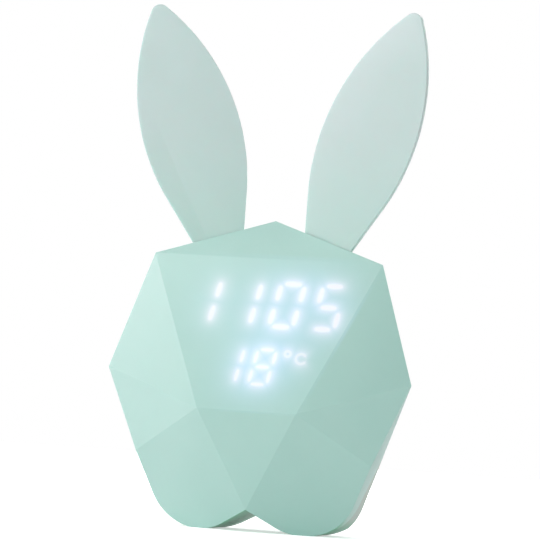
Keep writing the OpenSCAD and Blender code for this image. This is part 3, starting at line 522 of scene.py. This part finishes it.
def metal(name, color, shade, roughness=0.3, stretch=(1.0, 12.0, 1.0)):
    """Drawn or plated metal with fine lines and handling marks."""
    finish = Finish(name, roughness=roughness, metallic=1.0)
    tree = finish.tree
    lines = tree.group(brushed_lines, Stretch=stretch)["Lines"]
    marks = tree.group(surface_grain, Size=0.8, Cloud_Size=6.0)
    handled = tree.times(marks["Cloud"], lines)
    finish.feed("Base Color", tree.mix(handled, srgb(*color), srgb(*shade)))
    finish.feed("Roughness", tree.range(lines, *NOISE_SPREAD,
                                        to_low=roughness - 0.08, to_high=roughness + 0.1))
    finish.bump(lines, FINE_DEPTH, strength=0.08)
    return finish.material


def board_lacquer(name):
    """Green board lacquer over copper tracks, with tinned pads."""
    finish = Finish(name, roughness=0.35, Coat_Weight=0.3)
    tree = finish.tree
    cells = tree.add("ShaderNodeTexVoronoi", feature="DISTANCE_TO_EDGE", distance="MANHATTAN")
    dots = tree.add("ShaderNodeTexVoronoi")
    for pattern, scale in ((cells, TRACK_SCALE), (dots, PAD_SCALE)):
        tree.feed(pattern.inputs["Vector"], tree.place())
        tree.feed(pattern.inputs["Scale"], scale)
    tracks = tree.range(cells.outputs["Distance"], *TRACK_EDGE)
    pads = tree.range(dots.outputs["Distance"], *PAD_EDGE)
    base = tree.mix(tracks, TRACK_GREEN, BOARD_GREEN)
    finish.feed("Base Color", tree.mix(pads, base, TIN))
    finish.feed("Metallic", tree.times(pads, TIN_METALLIC))
    finish.bump(tracks, FINE_DEPTH, strength=0.2)
    return finish.material


def lit_resin(name, color, strength):
    """Clear resin with a light behind it."""
    finish = Finish(name, roughness=0.3, Emission_Strength=strength)
    tree = finish.tree
    marks = tree.group(surface_grain, Size=0.6, Cloud_Size=3.0)
    finish.feed("Base Color", tree.mix(marks["Cloud"], srgb(*color), RESIN_CLOUD))
    finish.feed("Emission Color", tree.mix(marks["Cloud"], srgb(*color), RESIN_GLOW))
    finish.bump(marks["Height"], FINE_DEPTH, strength=0.05)
    return finish.material


def flat_cable(name):
    """White flat cable with a row of conductors under its skin."""
    finish = Finish(name, roughness=0.4)
    tree = finish.tree
    wave = tree.add("ShaderNodeTexWave", bands_direction="X")
    tree.feed(wave.inputs["Vector"], tree.place())
    tree.feed(wave.inputs["Scale"], CONDUCTOR_SCALE)
    lines = tree.range(wave.outputs["Fac"], *CONDUCTOR_EDGE)
    finish.feed("Base Color", tree.mix(lines, CABLE_WHITE, CONDUCTOR_GREY))
    finish.bump(lines, FINE_DEPTH, strength=0.2)
    return finish.material


# Each finish with the pieces that have it
FINISHES = [
    (silicone("mint_silicone_face", (184, 220, 212), (181, 218, 210), shines=True),
     ["face_skin"]),
    (silicone("mint_silicone_ears", (207, 221, 220), (204, 219, 217), root=(197, 221, 216),
              clear=0.7),
     ["ear_left", "ear_right"]),
    # The milky case gets painted shade, a darker green, where it faces down
    (moulded("milky_case_plastic", (198, 214, 205), (191, 208, 199), roughness=0.45,
             painted_shade=(120, 186, 158), Subsurface_Weight=0.2, Subsurface_Scale=4 * MM),
     ["rear_shell"]),
    (moulded("white_plastic", (232, 232, 228), (224, 225, 221)),
     ["front_shell", "segment_housing", "ear_clamp_left", "ear_clamp_right", "light_reflector",
      "battery_plug", "power_slider"]),
    (moulded("button_plastic", (226, 229, 225), (218, 222, 218), roughness=0.35, size=0.3),
     ["mode_button", "up_button", "down_button", "light_button"]),
    (moulded("diffuser_sheet", (240, 241, 238), (232, 234, 231), roughness=0.55, size=0.25,
             bump=0.2),
     ["display_film", "light_diffuser"]),
    (lit_resin("lit_resin", (245, 252, 255), strength=0.4),
     ["lit_segments"]),
    (moulded("unlit_resin", (176, 186, 188), (166, 177, 180), roughness=0.3, size=0.4),
     ["dark_segments"]),
    (lit_resin("lamp_resin", (255, 246, 214), strength=0.3),
     ["display_leds", "night_light_leds"]),
    (board_lacquer("board_lacquer"),
     ["display_board", "main_board"]),
    (moulded("black_plastic", (26, 27, 28), (34, 35, 36), wear=0.4),
     ["controller_chip", "temperature_sensor", "speaker", "switch_bodies"]),
    (moulded("black_foam", (38, 38, 40), (28, 28, 30), roughness=0.9, size=0.6, bump=0.8,
             wear=0.0),
     ["battery_tape", "speaker_gasket"]),
    (moulded("foot_rubber", (58, 60, 60), (48, 50, 51), roughness=0.7, size=0.4, bump=0.3),
     ["foot_pads"]),
    (metal("bright_steel", (196, 198, 200), (160, 163, 166)),
     ["ear_screws", "display_screws", "board_screws", "clock_crystal", "charge_socket",
      "power_switch", "case_screws", "mode_plunger", "up_plunger", "down_plunger",
      "light_plunger"]),
    (metal("cell_foil", (186, 189, 192), (165, 168, 172), roughness=0.42,
           stretch=(1.0, 1.0, 6.0)),
     ["battery"]),
    (flat_cable("white_flat_cable"),
     ["ribbon_cable"]),
    (moulded("red_wire_cover", (186, 38, 34), (168, 32, 30), roughness=0.35, size=0.3),
     ["battery_leads"]),
]
for finish_material, node_names in FINISHES:
    for node_name in node_names:
        slots = NODES[node_name].data.materials
        slots.clear()
        slots.append(finish_material)

# ---------------------------------------------------------------- rounded edges

# Corners this near each other are one, and faces this level with each other are one flat
WELD_WITHIN = 0.02 * MM
FLAT_WITHIN = math.radians(0.6)
# Each soft piece: its edges' rounding in millimetres, and the angle in degrees from which an
# edge is real and not a step of a curve
SOFT_EDGES = {"face_skin": (0.8, 10.0), "ear_left": (1.2, 6.0), "ear_right": (1.2, 6.0)}


def round_edges(piece, width, angle):
    """Rounds a moulded piece's edges above this angle, with the flats kept flat."""
    weld = piece.modifiers.new("weld", "WELD")
    weld.merge_threshold = WELD_WITHIN
    flats = piece.modifiers.new("flats", "DECIMATE")
    flats.decimate_type = "DISSOLVE"
    flats.angle_limit = FLAT_WITHIN
    bevel = piece.modifiers.new("rounding", "BEVEL")
    bevel.width = width
    bevel.segments = 3
    bevel.limit_method = "ANGLE"
    bevel.angle_limit = angle
    bevel.use_clamp_overlap = True
    bevel.harden_normals = True
    bevel.miter_outer = "MITER_ARC"
    for polygon in piece.data.polygons:
        polygon.use_smooth = True


for node_name, (edge_width, edge_angle) in SOFT_EDGES.items():
    round_edges(NODES[node_name], edge_width * MM, math.radians(edge_angle))

# ---------------------------------------------------------------- floor, lights and camera

FLOOR_SIZE = 8.0
FLOOR_PALE, FLOOR_SHADE = (0.95, 0.95, 0.95, 1.0), (0.93, 0.93, 0.93, 1.0)
# The floor shines by the first strength up to the first distance from the clock, so that it
# keeps the clock's shadow, and by the second from the second distance on
FLOOR_NEAR, FLOOR_FAR = 0.15, 0.7
NEAR_SHINE, FAR_SHINE = 0.5, 1.0
SOFT_LIGHT = 0.3

# Each lamp: place, power in watts and colour
LAMP_SIZE = 1.3
LAMP_AIM = Vector((0, 0, 0.1))
LAMPS = {
    "key_lamp": ((-1.34, -0.14, 0.3), 14.6, (1.0, 0.78, 0.84)),
    "top_lamp": ((-0.81, -0.41, 1.11), 3.3, (1.0, 1.0, 1.0)),
    "front_lamp": ((0.0, -1.29, 0.55), 7.1, (0.85, 1.0, 0.96)),
    "back_lamp": ((0.0, 1.25, 0.5), 8.6, (1.0, 1.0, 1.0)),
}

# The camera: how far round to the right, above the middle and rolled it is, the point it looks
# at, its distance, and the frame, focal length and that point's place in it in pixels
CAMERA_TURN = math.radians(13.0)
CAMERA_RISE = math.radians(-3.5)
CAMERA_ROLL = math.radians(4.07)
CAMERA_AIM = Vector((0, -3.9, 97.8)) * MM
CAMERA_AWAY = 1.05
FRAME_PX = 540
FOCAL_PX = 2742
AIM_PX = (270.9, 275.6)


def seen_as_background(tree):
    """1 for the rays that show the white around the clock, also in metal and glass."""
    rays = tree.add("ShaderNodeLightPath").outputs
    seen = tree.math("MAXIMUM", rays["Is Camera Ray"], rays["Is Transmission Ray"])
    return tree.math("MAXIMUM", seen, rays["Is Glossy Ray"])


def make_floor():
    bpy.ops.mesh.primitive_plane_add(size=FLOOR_SIZE)
    floor = bpy.context.object
    floor.name = "studio_floor"
    finish = Finish("studio_floor_paper", roughness=0.9, Emission_Color=WHITE)
    tree = finish.tree
    marks = tree.group(surface_grain, Size=1.5, Cloud_Size=300.0)
    finish.feed("Base Color", tree.mix(marks["Cloud"], FLOOR_PALE, FLOOR_SHADE))
    away = tree.vector("LENGTH", tree.place(), out=AS_NUMBER)
    shine = tree.range(away, FLOOR_NEAR, FLOOR_FAR, to_low=NEAR_SHINE, to_high=FAR_SHINE)
    finish.feed("Emission Strength", tree.times(seen_as_background(tree), shine))
    floor.data.materials.append(finish.material)


def make_world():
    world = bpy.data.worlds.new("studio")
    bpy.context.scene.world = world
    world.use_nodes = True
    tree = Tree(world.node_tree)
    soft = world.node_tree.nodes["Background"]
    white = tree.add("ShaderNodeBackground")
    for background, strength in ((soft, SOFT_LIGHT), (white, 1.0)):
        tree.feed(background.inputs["Color"], WHITE)
        tree.feed(background.inputs["Strength"], strength)
    both = tree.wired("ShaderNodeMixShader",
                      (seen_as_background(tree), soft.outputs[0], white.outputs[0]))
    tree.feed(world.node_tree.nodes["World Output"].inputs["Surface"], both.outputs[0])


def add_lamp(name, place, power, color):
    lamp = bpy.data.lights.new(name, "AREA")
    lamp.shape = "DISK"
    lamp.size = LAMP_SIZE
    lamp.energy = power
    lamp.color = color
    holder = bpy.data.objects.new(name, lamp)
    holder.location = place
    holder.rotation_euler = (Vector(place) - LAMP_AIM).to_track_quat("Z", "Y").to_euler()
    bpy.context.scene.collection.objects.link(holder)


def make_camera():
    back = Vector((math.sin(CAMERA_TURN) * math.cos(CAMERA_RISE),
                   -math.cos(CAMERA_TURN) * math.cos(CAMERA_RISE),
                   math.sin(CAMERA_RISE)))
    level_right = Vector((0, 0, 1)).cross(back).normalized()
    level_up = back.cross(level_right)
    right = level_right * math.cos(CAMERA_ROLL) + level_up * math.sin(CAMERA_ROLL)
    up = back.cross(right)
    lens = bpy.data.cameras.new("photo_camera")
    lens.sensor_width = 36.0
    lens.lens = FOCAL_PX / FRAME_PX * lens.sensor_width
    lens.shift_x = (FRAME_PX / 2 - AIM_PX[0]) / FRAME_PX
    lens.shift_y = (AIM_PX[1] - FRAME_PX / 2) / FRAME_PX
    lens.clip_start = 0.05
    camera = bpy.data.objects.new("photo_camera", lens)
    turn = Matrix((right, up, back)).transposed().to_4x4()
    camera.matrix_world = Matrix.Translation(CAMERA_AIM + back * CAMERA_AWAY) @ turn
    bpy.context.scene.collection.objects.link(camera)
    bpy.context.scene.camera = camera


make_floor()
make_world()
for lamp_name, (lamp_place, lamp_power, lamp_color) in LAMPS.items():
    add_lamp(lamp_name, lamp_place, lamp_power, lamp_color)
make_camera()
bpy.context.scene.view_settings.view_transform = "Standard"
